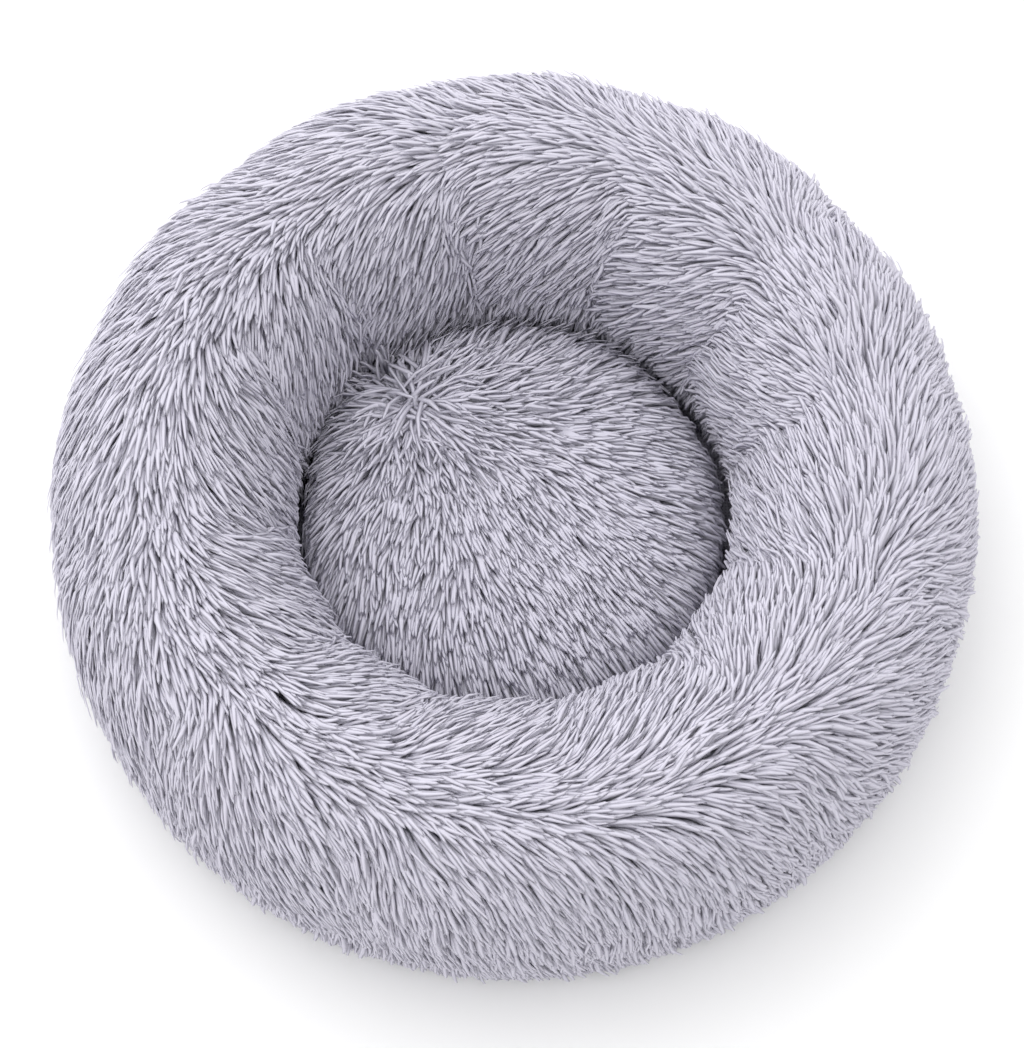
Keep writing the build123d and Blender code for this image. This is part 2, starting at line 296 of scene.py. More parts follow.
def pile_mesh(name, spine, normal, width, shade, cloth_points, cloth_faces):
    """One mesh of a closed backing cloth and its locks. A spine is a lock's five points from root to tip."""
    count, rings = len(spine), len(RINGS)
    tangent = np.gradient(spine, axis=1)
    side = np.cross(tangent, normal)
    side /= np.maximum(np.linalg.norm(side, axis=2, keepdims=True), 1e-9)
    top = np.cross(side, tangent)
    top /= np.maximum(np.linalg.norm(top, axis=2, keepdims=True), 1e-9)
    turn = np.radians([90, 210, 330])
    wide = (width[:, None] * np.array(RING_WIDTH))[..., None, None]
    across = side[:, :rings, None] * (LOCK_ACROSS * np.cos(turn))[:, None]
    through = top[:, :rings, None] * (LOCK_THROUGH * np.sin(turn))[:, None]
    ring = spine[:, :rings, None] + wide * (across + through)
    points = np.concatenate([ring.reshape(count, -1, 3), spine[:, -1:]], axis=1)
    per_lock = points.shape[1]
    corners, sizes, places = lock_template()
    cloth_points = np.asarray(cloth_points).reshape(-1, 3)
    all_points = np.concatenate([points.reshape(-1, 3), cloth_points])
    cloth_corners = np.concatenate([np.array(f) for f in cloth_faces]) + count * per_lock
    cloth_sizes = np.array([len(f) for f in cloth_faces])
    loops = np.concatenate([(corners + np.arange(count)[:, None] * per_lock).ravel(), cloth_corners])
    all_sizes = np.concatenate([np.tile(sizes, count), cloth_sizes])
    starts = np.concatenate([[0], np.cumsum(all_sizes)[:-1]])
    lock_uv = np.empty((count, len(places), 2))
    lock_uv[..., 0] = (shade[:, None] + STRIP_MARGIN + (1 - 2 * STRIP_MARGIN) * places[:, 0]) / SHADES
    lock_uv[..., 1] = END_MARGIN + (1 - 2 * END_MARGIN) * places[:, 1]
    cloth_uv = np.tile(CLOTH_PATCH, (len(cloth_faces), 1))[: len(cloth_corners)]
    mesh = bpy.data.meshes.new(name)
    mesh.vertices.add(len(all_points))
    mesh.loops.add(len(loops))
    mesh.polygons.add(len(all_sizes))
    mesh.vertices.foreach_set("co", all_points.ravel().astype(np.float32))
    mesh.loops.foreach_set("vertex_index", loops.astype(np.int32))
    mesh.polygons.foreach_set("loop_start", starts.astype(np.int32))
    tone = mesh.uv_layers.new(name="OFBake")
    tone.data.foreach_set("uv", np.concatenate([lock_uv.reshape(-1, 2), cloth_uv]).ravel().astype(np.float32))
    mesh.update(calc_edges=True)
    mesh.polygons.foreach_set("use_smooth", np.ones(len(all_sizes), bool))
    return add_piece(name, mesh)


def drawn(count, mean, spread, least, most):
    """Random sizes about a mean, between a least and a most."""
    return rng.normal(mean, spread, count).clip(least, most)


def lifted(point, up, rise, stop):
    """Points of locks above the cloth. A lock rises steeply from its root and levels off to its tip."""
    lift = rise * (1 - (1 - stop) ** 2.2) + 0.0004
    return point + up * lift[:, None]


def full_locks(spine, normal):
    """Spines and normals as arrays, with a width and a tone for each lock."""
    spine, normal = np.stack(spine, axis=1), np.stack(normal, axis=1)
    return spine, normal, drawn(len(spine), *LOCK_WIDTH), rng.integers(0, SHADES, len(spine))


# ---- the rim's cloth

SEAM_COLUMNS = 24
COLUMNS = GORES * SEAM_COLUMNS
ARCH_ROWS = 61
FLOOR_ROWS = 12
# The simulation holds the cloth below this height
HELD_HEIGHT = 0.030
# How far the rim's inner wall leans towards the front
WALL_LEAN = 0.007
# How hard each seam gathers the rim, from the first one round, and how hard the pile fans out there
SEAM_PULL = np.array((0.5, 1.0, 0.9, 0.7, 0.8, 0.5, 0.4, 0.6, 0.5, 0.4, 0.5, 0.6))
SEAM_KICK = 0.4 + 0.8 * SEAM_PULL
# How far a seam wanders on its way over the rim, in degrees, and how wide its gather is, in columns
SEAM_WANDER = 2.4
SEAM_GATHER = 5.0


def wall_curve(half, foot_half):
    """Drop of the wall from its shoulder to its foot, and the radius of the curve it drops in."""
    lean, drop = half - foot_half, SHOULDER_HEIGHT - FOOT_HEIGHT
    return drop, (lean**2 + drop**2) / (2 * lean)


def rim_section(swell):
    """The rim's section from the inner foot over the crest to the outer foot, evenly spaced."""
    half, foot_half = HALF_WIDTH + swell, FOOT_HALF_WIDTH + swell
    drop, bend = wall_curve(half, foot_half)
    below = np.linspace(drop, 0, 200)
    wall = half - bend + np.sqrt(bend**2 - below**2)
    turn = np.linspace(math.pi, 0, 800)[1:-1]
    across = np.concatenate([-wall, half * np.cos(turn), wall[::-1]])
    arch = SHOULDER_HEIGHT + (CREST_HEIGHT + swell - SHOULDER_HEIGHT) * np.sin(turn)
    up = np.concatenate([SHOULDER_HEIGHT - below, arch, SHOULDER_HEIGHT - below[::-1]])
    length = np.concatenate([[0], np.cumsum(np.hypot(np.diff(across), np.diff(up)))])
    even = np.linspace(0, length[-1], ARCH_ROWS)
    return RIM_RADIUS + np.interp(even, length, across), np.interp(even, length, up), length[-1]


def stuffed_rim():
    """Points of the closed cloth of the rim, columns by rows, with each gore puffed out between its seams."""
    slack_radius, slack_height, _ = rim_section(-0.004)
    radius, height, arch_length = rim_section(0)
    loose = np.clip((height - HELD_HEIGHT) / 0.040, 0, 1)
    radius = radius + (slack_radius - radius) * loose
    height = height + (slack_height - height) * loose
    radius = np.concatenate([radius, np.linspace(radius[-1], radius[0], FLOOR_ROWS + 2)[1:-1]])
    height = np.concatenate([height, np.full(FLOOR_ROWS, FOOT_HEIGHT)])
    loose = np.concatenate([loose, np.zeros(FLOOR_ROWS)])
    rows = len(radius)
    column = np.arange(COLUMNS)
    angle = FIRST_SEAM + column * 2 * math.pi / COLUMNS
    # the seams wander a little on their way over the rim
    turn, row = np.meshgrid(column / SEAM_COLUMNS, np.arange(rows), indexing="ij")
    wander = np.radians(SEAM_WANDER) * lattice_noise(turn, row / 11.0, 14, GORES) * loose
    # its inner wall leans over the cushion at the front and away from it at the back
    inner_wall = np.clip((RIM_RADIUS + 0.03 - radius) / 0.05, 0, 1)
    inner_wall = inner_wall * np.clip((height - HELD_HEIGHT) / 0.060, 0, 1)
    radius = radius + WALL_LEAN * np.sin(angle)[:, None] * inner_wall
    points = round_bed(angle[:, None] + wander, radius, height)
    # gathered seams pull the cloth in
    seam = np.abs((column + SEAM_COLUMNS / 2) % SEAM_COLUMNS - SEAM_COLUMNS / 2)
    pull = np.repeat(SEAM_PULL, SEAM_COLUMNS)
    pull = np.where(column % SEAM_COLUMNS > SEAM_COLUMNS / 2, np.roll(pull, -SEAM_COLUMNS), pull)
    inside = np.clip((RIM_RADIUS + 0.02 - radius) / 0.04, 0, 1)
    depth = (0.004 + 0.003 * inside) * loose
    pinch = (pull * np.exp(-((seam / SEAM_GATHER) ** 2)))[:, None] * depth
    points -= grid_normals(points, True) * pinch[..., None]
    blank = mesh_piece("rim_blank", points.reshape(-1, 3), grid_faces(COLUMNS, rows, True, True))
    held = np.zeros((COLUMNS, rows))
    held[::SEAM_COLUMNS] = (0.1 + 0.25 * SEAM_PULL)[:, None]
    held[:, height < HELD_HEIGHT] = 1
    puffed = inflate(blank, held.ravel(), 3.5, 20, 0.010)
    return puffed.reshape(COLUMNS, rows, 3), arch_length


rim_cloth, RIM_ARCH = stuffed_rim()
ROW_STEP = RIM_ARCH / (ARCH_ROWS - 1)
rim_arch = rim_cloth[:, :ARCH_ROWS]
arch_normals = grid_normals(rim_arch)


def rim_at(angle, along):
    """Point and normal of the rim's cloth at an angle round the bed and a length along the arch."""
    u = (angle - FIRST_SEAM) / (2 * math.pi) * COLUMNS
    v = np.clip(along / ROW_STEP, 0, ARCH_ROWS - 1.001)
    i, j = np.floor(u).astype(int), np.floor(v).astype(int)
    return between_points((rim_arch, arch_normals), i, j, (u - i)[..., None], (v - j)[..., None])


# How far the pile leans off its run round the rim at the middle of each gore, in degrees
OUTER_LEAN = (46, 60, 66, 46, 32, 34, 36, 50, 66, 74, 56, 42)
INNER_LEAN = (24, 36, 48, 50, 58, 68, 62, 44, 44, 52, 36, 26)


def rim_lean(angle, along):
    """Angle of the nap off the run round the rim, in radians: outwards is positive, inwards is negative."""
    turn = (angle - FIRST_SEAM) / GORE_ANGLE
    stops = np.arange(-1, GORES + 1) + 0.5
    outer = np.interp(turn % GORES, stops, OUTER_LEAN[-1:] + OUTER_LEAN + OUTER_LEAN[:1])
    inner = np.interp(turn % GORES, stops, INNER_LEAN[-1:] + INNER_LEAN + INNER_LEAN[:1])
    point, _ = rim_at(angle, along)
    radius = np.hypot(point[..., 0], point[..., 1])
    crest = RIM_ARCH / 2 + 0.008 * lattice_noise(turn * 3, turn * 0, 3, GORES * 3)
    off = (along - crest) / (RIM_ARCH / 2)
    share = np.clip(np.abs(radius - RIM_RADIUS) / HALF_WIDTH, 0, 1) ** 0.85
    share = share * np.clip(np.abs(off) / 0.10, 0, 1)
    steep = np.clip((np.abs(off) - 0.55) / 0.25, 0, 1)
    past_seam = (turn % 1) * math.degrees(GORE_ANGLE)
    gore = np.floor(turn).astype(int)
    at_next = np.clip((past_seam - math.degrees(GORE_ANGLE)) / 4 + 1, 0, 1)
    kick = SEAM_KICK[gore % GORES] * np.exp(-past_seam / 8) + SEAM_KICK[(gore + 1) % GORES] * at_next
    kick = kick * np.where(off > 0, 30, 36) * np.clip(2 * share, 0, 1)
    lean = np.where(off > 0, outer, inner) * 1.1 * share + kick
    lean = lean * (1 - steep) + 80 * steep
    lean = np.where(off > 0, lean, -lean)
    for swing, cells, cell, seed in ((10, 5, 0.05, 5), (9, 14, 0.014, 6)):
        lean += swing * lattice_noise(turn * cells, along / cell, seed, GORES * cells)
    return np.radians(lean)


def gather(across, along, cell, seed):
    """How far a lock lies from the middle of its clump, both ways."""
    table = np.random.default_rng(seed).uniform(-0.35, 0.35, (2, 512, 512))
    i, j = np.floor(across / cell).astype(int), np.floor(along / cell).astype(int)
    shift = table[:, i % 512, j % 512]
    return (i + 0.5 + shift[0]) * cell - across, (j + 0.5 + shift[1]) * cell - along


def gore_end(number):
    """Length along the arch where a gore stops: at the foot, or above the zip."""
    if number not in ZIP_GORES:
        return RIM_ARCH
    along = np.linspace(RIM_ARCH * 0.7, RIM_ARCH, 400)
    point, _ = rim_at(np.full_like(along, FIRST_SEAM), along)
    return float(np.interp(-ZIP_TOP, -point[:, 2], along))


# Length along the arch, from the inner foot, that the cushion hides, where the locks stand further apart
HIDDEN_WALL = 0.060
HIDDEN_SPACING = 1.3


def gore_locks(number, spacing):
    """Spines, normals, widths and tones of the locks of one gore."""
    start = FIRST_SEAM + (number - 1) * GORE_ANGLE
    end = gore_end(number)
    angles, alongs = [], []
    along, row = 0.003, 0
    while along < end - 0.002:
        step = spacing * (HIDDEN_SPACING if along < HIDDEN_WALL else 1.0)
        point, _ = rim_at(np.array([start + 0.1]), np.array([along]))
        many = max(4, round(GORE_ANGLE * math.hypot(point[0, 0], point[0, 1]) / step))
        angles.append(start + (np.arange(many) + 0.5 * (row % 2)) / many * GORE_ANGLE)
        alongs.append(np.full(many, along))
        along, row = along + step, row + 1
    angle, along = np.concatenate(angles), np.concatenate(alongs)
    count = len(angle)
    point, _ = rim_at(angle, along)
    angle += rng.uniform(-0.5, 0.5, count) * spacing / np.hypot(point[:, 0], point[:, 1])
    along += rng.uniform(-0.5, 0.5, count) * spacing
    length = drawn(count, *RIM_LOCK_LENGTH)
    ragged = rng.uniform(0.0015, 0.0060, count)
    inner = np.clip((0.42 * RIM_ARCH - along) / (0.15 * RIM_ARCH), 0, 1)
    rise = rng.uniform(0.008, 0.0145, count) + 0.005 * inner * rng.random(count)
    rise[rng.random(count) < 0.05] += 0.003
    over_front = inner * np.clip(-np.sin(angle), 0, 1)
    rise += 0.006 * over_front * rng.random(count)
    stray = np.radians(rng.normal(0, STRAY, count))
    bend = np.radians(rng.normal(0, BEND, count))
    blur = np.radians(rng.normal(0, SEAM_BLUR, count))
    clump_across, clump_along = gather(angle * RIM_RADIUS, along, RIM_CLUMP, number)
    over_zip = (along > 0.5 * RIM_ARCH) & (number in ZIP_GORES)
    lowest = np.where(over_zip, ZIP_TOP - 0.0045 * rng.random(count), 0.0024)
    spine, normal = [], []
    for k, stop in enumerate(STOPS):
        if k:
            step = (stop - STOPS[k - 1]) * length
            lean = rim_lean(angle + blur, along) + stray + bend * (stop - 0.4)
            point, _ = rim_at(angle, along)
            draw = 0.5 * (stop**2 - STOPS[k - 1] ** 2)
            angle = angle + (np.cos(lean) * step + clump_across * draw) / np.hypot(point[:, 0], point[:, 1])
            along = np.clip(along + np.sin(lean) * step + clump_along * draw, 0.0, min(end + 0.005, RIM_ARCH))
        point, up = rim_at(angle, along)
        place = lifted(point, up, rise, stop)
        # beside the cushion the pile keeps to the wall, and above it hangs a little over
        out = np.hypot(place[:, 0], place[:, 1])
        least = CUSHION_RADIUS + ragged - np.clip(place[:, 2] - CUSHION_TOP + 0.016, 0, 0.030) * 0.8
        least = np.where(place[:, 2] < CUSHION_TOP + 0.014, least, 0)
        place[:, :2] *= (np.maximum(out, least) / out)[:, None]
        place[:, 2] = np.maximum(place[:, 2], lowest)
        spine.append(place)
        normal.append(up)
    return full_locks(spine, normal)


def gore_cloth(number):
    """Points and faces of the backing cloth of one gore, outside first."""
    columns, rows = SEAM_COLUMNS + 1, 60
    start = FIRST_SEAM + (number - 1) * GORE_ANGLE
    angle, along = np.meshgrid(
        start + np.linspace(0, GORE_ANGLE, columns), np.linspace(0, gore_end(number), rows), indexing="ij"
    )
    point, up = rim_at(angle, along)
    points = np.concatenate([point.reshape(-1, 3), (point - up * FUR_CLOTH).reshape(-1, 3)])
    return points, slab_faces(columns, rows)


# ---- the cushion's cloth

CUSHION_COLUMNS = 96
TOP_ROWS = 30
DISH_ROWS = 16
# Radius at which the section starts and ends, and the room left above it for the cloth to puff up
POLE_RADIUS = 0.003
PUFF_ROOM = 0.003


def cushion_section():
    """The cushion's section from near the top's middle over the seam to near the underside's middle."""
    shoulder = SEAM_RADIUS - CUSHION_CROWN
    crown = np.linspace(POLE_RADIUS, CUSHION_CROWN, 12)[:-1]
    out = np.concatenate([crown, CUSHION_CROWN + shoulder * np.sin(np.linspace(0, math.pi / 2, 19))])
    off = np.clip((out - CUSHION_CROWN) / shoulder, 0, 1)
    rise = CUSHION_TOP - CUSHION_PILE - PUFF_ROOM - CUSHION_SEAM
    top = CUSHION_SEAM + rise * np.sqrt(np.maximum(1 - off**2, 0))
    under = np.linspace(math.pi / 2, 0, 10)[1:]
    dish_out = CUSHION_FLAT + (SEAM_RADIUS - CUSHION_FLAT) * np.sin(under)
    dish = CUSHION_SEAM - (CUSHION_SEAM - CUSHION_FOOT) * np.cos(under)
    flat_out = np.linspace(CUSHION_FLAT, POLE_RADIUS, DISH_ROWS - 8)[1:]
    return (
        np.concatenate([out, dish_out, flat_out]),
        np.concatenate([top, dish, np.full(len(flat_out), CUSHION_FOOT)]),
    )


def stuffed_cushion():
    """Points of the cushion's closed cloth, columns by rows."""
    radius, height = cushion_section()
    rows = len(radius)
    angle = np.arange(CUSHION_COLUMNS) * 2 * math.pi / CUSHION_COLUMNS
    points = round_bed(angle[:, None], radius, height)
    faces = grid_faces(CUSHION_COLUMNS, rows, True, False)
    ends = np.arange(CUSHION_COLUMNS) * rows
    faces.append(ends.tolist())
    faces.append((ends[::-1] + rows - 1).tolist())
    blank = mesh_piece("cushion_blank", points.reshape(-1, 3), faces)
    held = np.zeros((CUSHION_COLUMNS, rows))
    held[:, TOP_ROWS - 1] = 0.95
    held[:, height < CUSHION_FOOT + 0.006] = 1
    return inflate(blank, held.ravel(), 2.5, 20, 0.005).reshape(CUSHION_COLUMNS, rows, 3)


cushion_cloth = stuffed_cushion()
dome = cushion_cloth[:, :TOP_ROWS]
dome_normals = grid_normals(cushion_cloth)[:, :TOP_ROWS]
dome_radius = cushion_section()[0][:TOP_ROWS]


def dome_at(place, drop):
    """Point and normal of the cushion's cloth under a place in plan. Past the seam the pile drops away."""
    out = np.maximum(np.linalg.norm(place, axis=-1), 1e-6)
    held = np.clip(out, dome_radius[0], SEAM_RADIUS - 0.0005)
    u = (np.arctan2(place[..., 1], place[..., 0]) / (2 * math.pi)) % 1 * CUSHION_COLUMNS
    i = np.floor(u).astype(int)
    j = np.clip(np.searchsorted(dome_radius, held, side="right") - 1, 0, TOP_ROWS - 2)
    fu = (u - i)[..., None]
    fv = ((held - dome_radius[j]) / (dome_radius[j + 1] - dome_radius[j]))[..., None]
    point, normal = between_points((dome, dome_normals), i, j, fu, fv)
    point[..., 2] -= np.maximum(out - SEAM_RADIUS, 0) * drop
    return point, normal / np.linalg.norm(normal, axis=-1, keepdims=True)


# Where the cushion's nap parts, how far the parting reaches, and how unevenly the locks leave it
WHORL = np.array([-0.066, 0.078])
WHORL_RADIUS = 0.030
WHORL_PATCH = 0.012


def cushion_locks(count):
    """Spines, normals, widths and tones of the cushion's locks, which part from a whorl near its edge."""
    radius = (SEAM_RADIUS - 0.0005) * np.sqrt((np.arange(count) + 0.5) / count)
    angle = np.arange(count) * math.pi * (3 - math.sqrt(5))
    place = np.stack([radius * np.cos(angle), radius * np.sin(angle)], axis=1)
    place += rng.normal(0, 0.0008, (count, 2))
    # more locks on the whorl itself, where the nap parts
    place = np.concatenate([place, WHORL + rng.normal(0, 0.011, (count // 14, 2))])
    count = len(place)
    apart = np.linalg.norm(place - WHORL, axis=1)
    near = np.exp(-((apart / WHORL_RADIUS) ** 2))
    length = drawn(count, *CUSHION_LOCK_LENGTH) + 0.008 * near
    rise = rng.uniform(0.007, 0.0145, count) + 0.006 * near * rng.random(count)
    stray = np.radians(rng.normal(0, STRAY, count) + rng.normal(0, 10, count) * near)
    bend = np.radians(rng.normal(0, BEND, count) + rng.normal(0, 34, count) * near)
    clump = np.stack(gather(place[:, 0] + 0.5, place[:, 1] + 0.5, CUSHION_CLUMP, 40), axis=1)
    # the nap parts over a patch, and past the back edge it lies up against the rim
    parting = WHORL + rng.normal(0, WHORL_PATCH, (count, 2))
    root = place
    over_back = np.clip(2.2 * place[:, 1] / SEAM_RADIUS - 0.6 * place[:, 0] / SEAM_RADIUS - 0.9, 0, 1)
    ragged = rng.uniform(-0.007, 0.0015, count) + over_back * rng.uniform(0.002, 0.014, count)
    drop = 0.9 - 2.0 * over_back * rng.random(count)
    rise += 0.008 * over_back * rng.random(count)
    spine, normal = [], []
    for k, stop in enumerate(STOPS):
        if k:
            away = place * (1 - near)[:, None] + root * near[:, None] - parting
            heading = np.arctan2(away[:, 1], away[:, 0])
            for swing, cell, seed in ((12, 0.05, 8), (8, 0.018, 9)):
                x, y = place[:, 0] / cell + 40, place[:, 1] / cell + 40
                heading += np.radians(swing) * lattice_noise(x, y, seed)
            heading += stray + bend * (stop - 0.4)
            step = ((stop - STOPS[k - 1]) * length)[:, None]
            draw = 0.35 * (stop**2 - STOPS[k - 1] ** 2)
            place = place + step * np.stack([np.cos(heading), np.sin(heading)], axis=1) + clump * draw
        point, up = dome_at(place, drop)
        spot = lifted(point, up, rise, stop)
        out = np.hypot(spot[:, 0], spot[:, 1])
        spot[:, :2] *= (np.minimum(out, CUSHION_RADIUS + ragged) / out)[:, None]
        spine.append(spot)
        normal.append(up)
    return full_locks(spine, normal)


def dome_cloth():
    """Points and faces of the cushion's fur cloth, closed at its middle and along its seam."""
    inside = dome - dome_normals * FUR_CLOTH
    return polar_shell(np.concatenate([dome, inside[:, ::-1]], axis=1))


# ---- finishes

# Width of two bands of the wave texture at scale 1
WAVE_PAIR = 0.3142


def linear(red, green, blue):
    """A screen colour as scene light."""
    channels = (c / 12.92 if c <= 0.04045 else ((c + 0.055) / 1.055) ** 2.4 for c in (red, green, blue))
    return (*channels, 1.0)


def grey(level):
    return (level, level, level, 1)


class Finish:
    """A material under construction, with its nodes and its shader at hand."""

    def __init__(self, name, roughness, specular):
        self.material = bpy.data.materials.new(name)
        self.material.use_nodes = True
        self.tree = self.material.node_tree
        self.shader = self.tree.nodes["Principled BSDF"]
        self.shader.inputs["Roughness"].default_value = roughness
        self.shader.inputs["Specular IOR Level"].default_value = specular

    def node(self, kind, **values):
        made = self.tree.nodes.new("ShaderNode" + kind)
        for key, value in values.items():
            setattr(made, key, value)
        return made

    def link(self, out, into):
        self.tree.links.new(out, into)

    def object_place(self, scale=(1, 1, 1)):
        """Object coordinates, stretched."""
        place = self.node("TexCoord")
        mapping = self.node("Mapping")
        mapping.inputs["Scale"].default_value = scale
        self.link(place.outputs["Object"], mapping.inputs["Vector"])
        return mapping.outputs["Vector"]

    def noise(self, place, scale, detail=3.0):
        made = self.node("TexNoise")
        made.inputs["Scale"].default_value = scale
        made.inputs["Detail"].default_value = detail
        self.link(place, made.inputs["Vector"])
        return made.outputs["Fac"]

    def wave(self, place, direction, pitch):
        made = self.node("TexWave", bands_direction=direction)
        made.inputs["Scale"].default_value = WAVE_PAIR / pitch / 2
        self.link(place, made.inputs["Vector"])
        return made.outputs["Fac"]

    def math(self, operation, first, second):
        made = self.node("Math", operation=operation)
        for socket, value in zip(made.inputs, (first, second)):
            if isinstance(value, (int, float)):
                socket.default_value = value
            else:
                self.link(value, socket)
        return made.outputs["Value"]

    def ramp(self, value, *stops):
        made = self.node("ValToRGB")
        elements = made.color_ramp.elements
        elements[0].position, elements[0].color = stops[0]
        elements[1].position, elements[1].color = stops[-1]
        for position, colour in stops[1:-1]:
            elements.new(position).color = colour
        self.link(value, made.inputs["Fac"])
        return made.outputs["Color"]

    def bump(self, height, depth):
        made = self.node("Bump")
        made.inputs["Distance"].default_value = depth
        self.link(height, made.inputs["Height"])
        self.link(made.outputs["Normal"], self.shader.inputs["Normal"])

    def colour(self, socket):
        self.link(socket, self.shader.inputs["Base Color"])

    def sheen(self, weight, roughness, tint):
        self.shader.inputs["Sheen Weight"].default_value = weight
        self.shader.inputs["Sheen Roughness"].default_value = roughness
        self.shader.inputs["Sheen Tint"].default_value = tint


def long_pile_finish():
    """Mauve-grey pile: darker at the root as painted shade between the locks, pale at the tip, streaked, with
    a tone of its own for each lock.
    """
    fur = Finish("long_pile", 0.80, 0.12)
    tone = fur.node("UVMap", uv_map="OFBake")
    split = fur.node("SeparateXYZ")
    fur.link(tone.outputs["UV"], split.inputs[0])
    # darker towards the root: painted shade between the locks, laid over the pile's own pale mauve-grey
    body = fur.ramp(
        split.outputs["Y"],
        (0.0, linear(0.74, 0.73, 0.78)),
        (0.28, linear(0.81, 0.80, 0.85)),
        (0.60, linear(0.83, 0.82, 0.87)),
        (1.0, linear(0.835, 0.825, 0.875)),
    )
    stretch = fur.node("Mapping")
    stretch.inputs["Scale"].default_value = (SHADES * 4.0, 1.6, 1.0)
    fur.link(tone.outputs["UV"], stretch.inputs["Vector"])
    streak = fur.noise(stretch.outputs["Vector"], 1.0, 3.0)
    shade = fur.ramp(streak, (0.25, (0.85, 0.85, 0.86, 1)), (0.5, grey(0.96)), (0.75, grey(1.0)))
    mix = fur.node("Mix", data_type="RGBA", blend_type="MULTIPLY")
    mix.inputs["Factor"].default_value = 1.0
    fur.link(body, mix.inputs["A"])
    fur.link(shade, mix.inputs["B"])
    fur.colour(mix.outputs["Result"])
    fur.sheen(0.06, 0.5, linear(0.96, 0.95, 1.0))
    return fur.material


def woven_finish(name, dark, light, pitch, depth):
    """Plain weave: over-and-under threads both ways, with slubs and a little wear."""
    cloth = Finish(name, 0.85, 0.25)
    dark, light = linear(*dark), linear(*light)
    place = cloth.object_place()
    threads = cloth.math("MAXIMUM", cloth.wave(place, "X", pitch), cloth.wave(place, "Y", pitch))
    slub = cloth.noise(place, 180.0, 4.0)
    patch = cloth.noise(place, 14.0, 3.0)
    height = cloth.math("ADD", threads, cloth.math("MULTIPLY", slub, 0.5))
    blend = cloth.math("MULTIPLY_ADD", height, 0.45)
    blend.node.inputs[2].default_value = -0.05
    mixed = cloth.math("ADD", blend, cloth.math("MULTIPLY", patch, 0.35))
    cloth.colour(cloth.ramp(mixed, (0.2, dark), (0.9, light)))
    cloth.bump(height, depth)
    cloth.sheen(0.15, 0.5, light)
    return cloth.material


def tape_finish():
    """Herringbone tape: ribs that turn over at the middle of its width."""
    tape = Finish("zip_tape", 0.8, 0.25)
    place = tape.node("UVMap", uv_map="run")
    split = tape.node("SeparateXYZ")
    tape.link(place.outputs["UV"], split.inputs[0])
    folded = tape.math("PINGPONG", split.outputs["Y"], 0.0025)
    slanted = tape.math("ADD", split.outputs["X"], folded)
    ribs = tape.math("SINE", tape.math("MULTIPLY", slanted, 2 * math.pi / 0.0011), 0.0)
    fuzz = tape.noise(place.outputs["UV"], 900.0, 3.0)
    height = tape.math("ADD", ribs, fuzz)
    relief = tape.math("MULTIPLY_ADD", height, 0.3)
    tape.colour(tape.ramp(relief, (0.0, linear(0.55, 0.54, 0.60)), (0.8, linear(0.76, 0.75, 0.81))))
    tape.bump(height, 0.00015)
    tape.sheen(0.1, 0.5, linear(0.8, 0.8, 0.85))
    return tape.material


def grained_finish(name, roughness, specular, scale, detail, dark, light, depth, sheen=0.0):
    """A stuff whose one grain, of wisps, dust or moulding marks, gives both its tone and its relief."""
    stuff = Finish(name, roughness, specular)
    grain = stuff.noise(stuff.object_place(), scale, detail)
    stuff.colour(stuff.ramp(grain, (dark[0], linear(*dark[1:])), (light[0], linear(*light[1:]))))
    stuff.bump(grain, depth)
    stuff.sheen(sheen, 0.5, grey(1))
    return stuff.material


def plated_finish():
    """Satin nickel plate with fine scratches and dull spots."""
    metal = Finish("satin_nickel", 0.3, 0.5)
    metal.shader.inputs["Metallic"].default_value = 1.0
    place = metal.object_place()
    scratch = metal.noise(metal.object_place((1, 1, 30)), 400.0, 4.0)
    spots = metal.noise(place, 300.0, 3.0)
    metal.colour(metal.ramp(spots, (0.3, linear(0.66, 0.66, 0.68)), (0.7, linear(0.82, 0.82, 0.83))))
    rough = metal.ramp(scratch, (0.3, grey(0.22)), (0.75, grey(0.42)))
    metal.link(rough, metal.shader.inputs["Roughness"])
    metal.bump(scratch, 0.00002)
    return metal.material


def label_finish():
    """Blank satin label with a woven edge."""
    satin = Finish("label_satin", 0.45, 0.4)
    place = satin.object_place()
    ribs = satin.wave(place, "Z", 0.0004)
    mottle = satin.noise(place, 160.0, 3.0)
    mixed = satin.math("ADD", satin.math("MULTIPLY", ribs, 0.3), satin.math("MULTIPLY", mottle, 0.6))
    satin.colour(satin.ramp(mixed, (0.2, linear(0.86, 0.86, 0.86)), (0.7, linear(0.97, 0.97, 0.96))))
    satin.bump(ribs, 0.00005)
    satin.sheen(0.1, 0.3, (1, 1, 1, 1))
    return satin.material


long_pile = long_pile_finish()
bag_cloth = woven_finish("bag_cloth", (0.70, 0.69, 0.72), (0.90, 0.89, 0.91), 0.0009, 0.0001)
lining_cloth = woven_finish("lining_cloth", (0.52, 0.51, 0.57), (0.78, 0.77, 0.83), 0.0011, 0.00015)
base_cloth = woven_finish("base_cloth", (0.44, 0.44, 0.48), (0.68, 0.68, 0.72), 0.0014, 0.0002)
thread = woven_finish("sewing_thread", (0.62, 0.61, 0.67), (0.84, 0.83, 0.88), 0.0005, 0.00005)
zip_tape = tape_finish()
stuffing = grained_finish(
    "stuffing", 0.95, 0.1, 90.0, 8.0, (0.3, 0.78, 0.78, 0.79), (0.7, 0.96, 0.96, 0.95), 0.002, 0.3
)
grip_rubber = grained_finish(
    "grip_rubber", 0.55, 0.4, 220.0, 4.0, (0.35, 0.36, 0.36, 0.39), (0.75, 0.50, 0.50, 0.53), 0.0001
)
nylon_teeth = grained_finish(
    "nylon_teeth", 0.38, 0.5, 600.0, 2.0, (0.3, 0.62, 0.61, 0.67), (0.7, 0.74, 0.73, 0.79), 0.00004
)
satin_nickel = plated_finish()
label_satin = label_finish()

# ---- the fur pieces

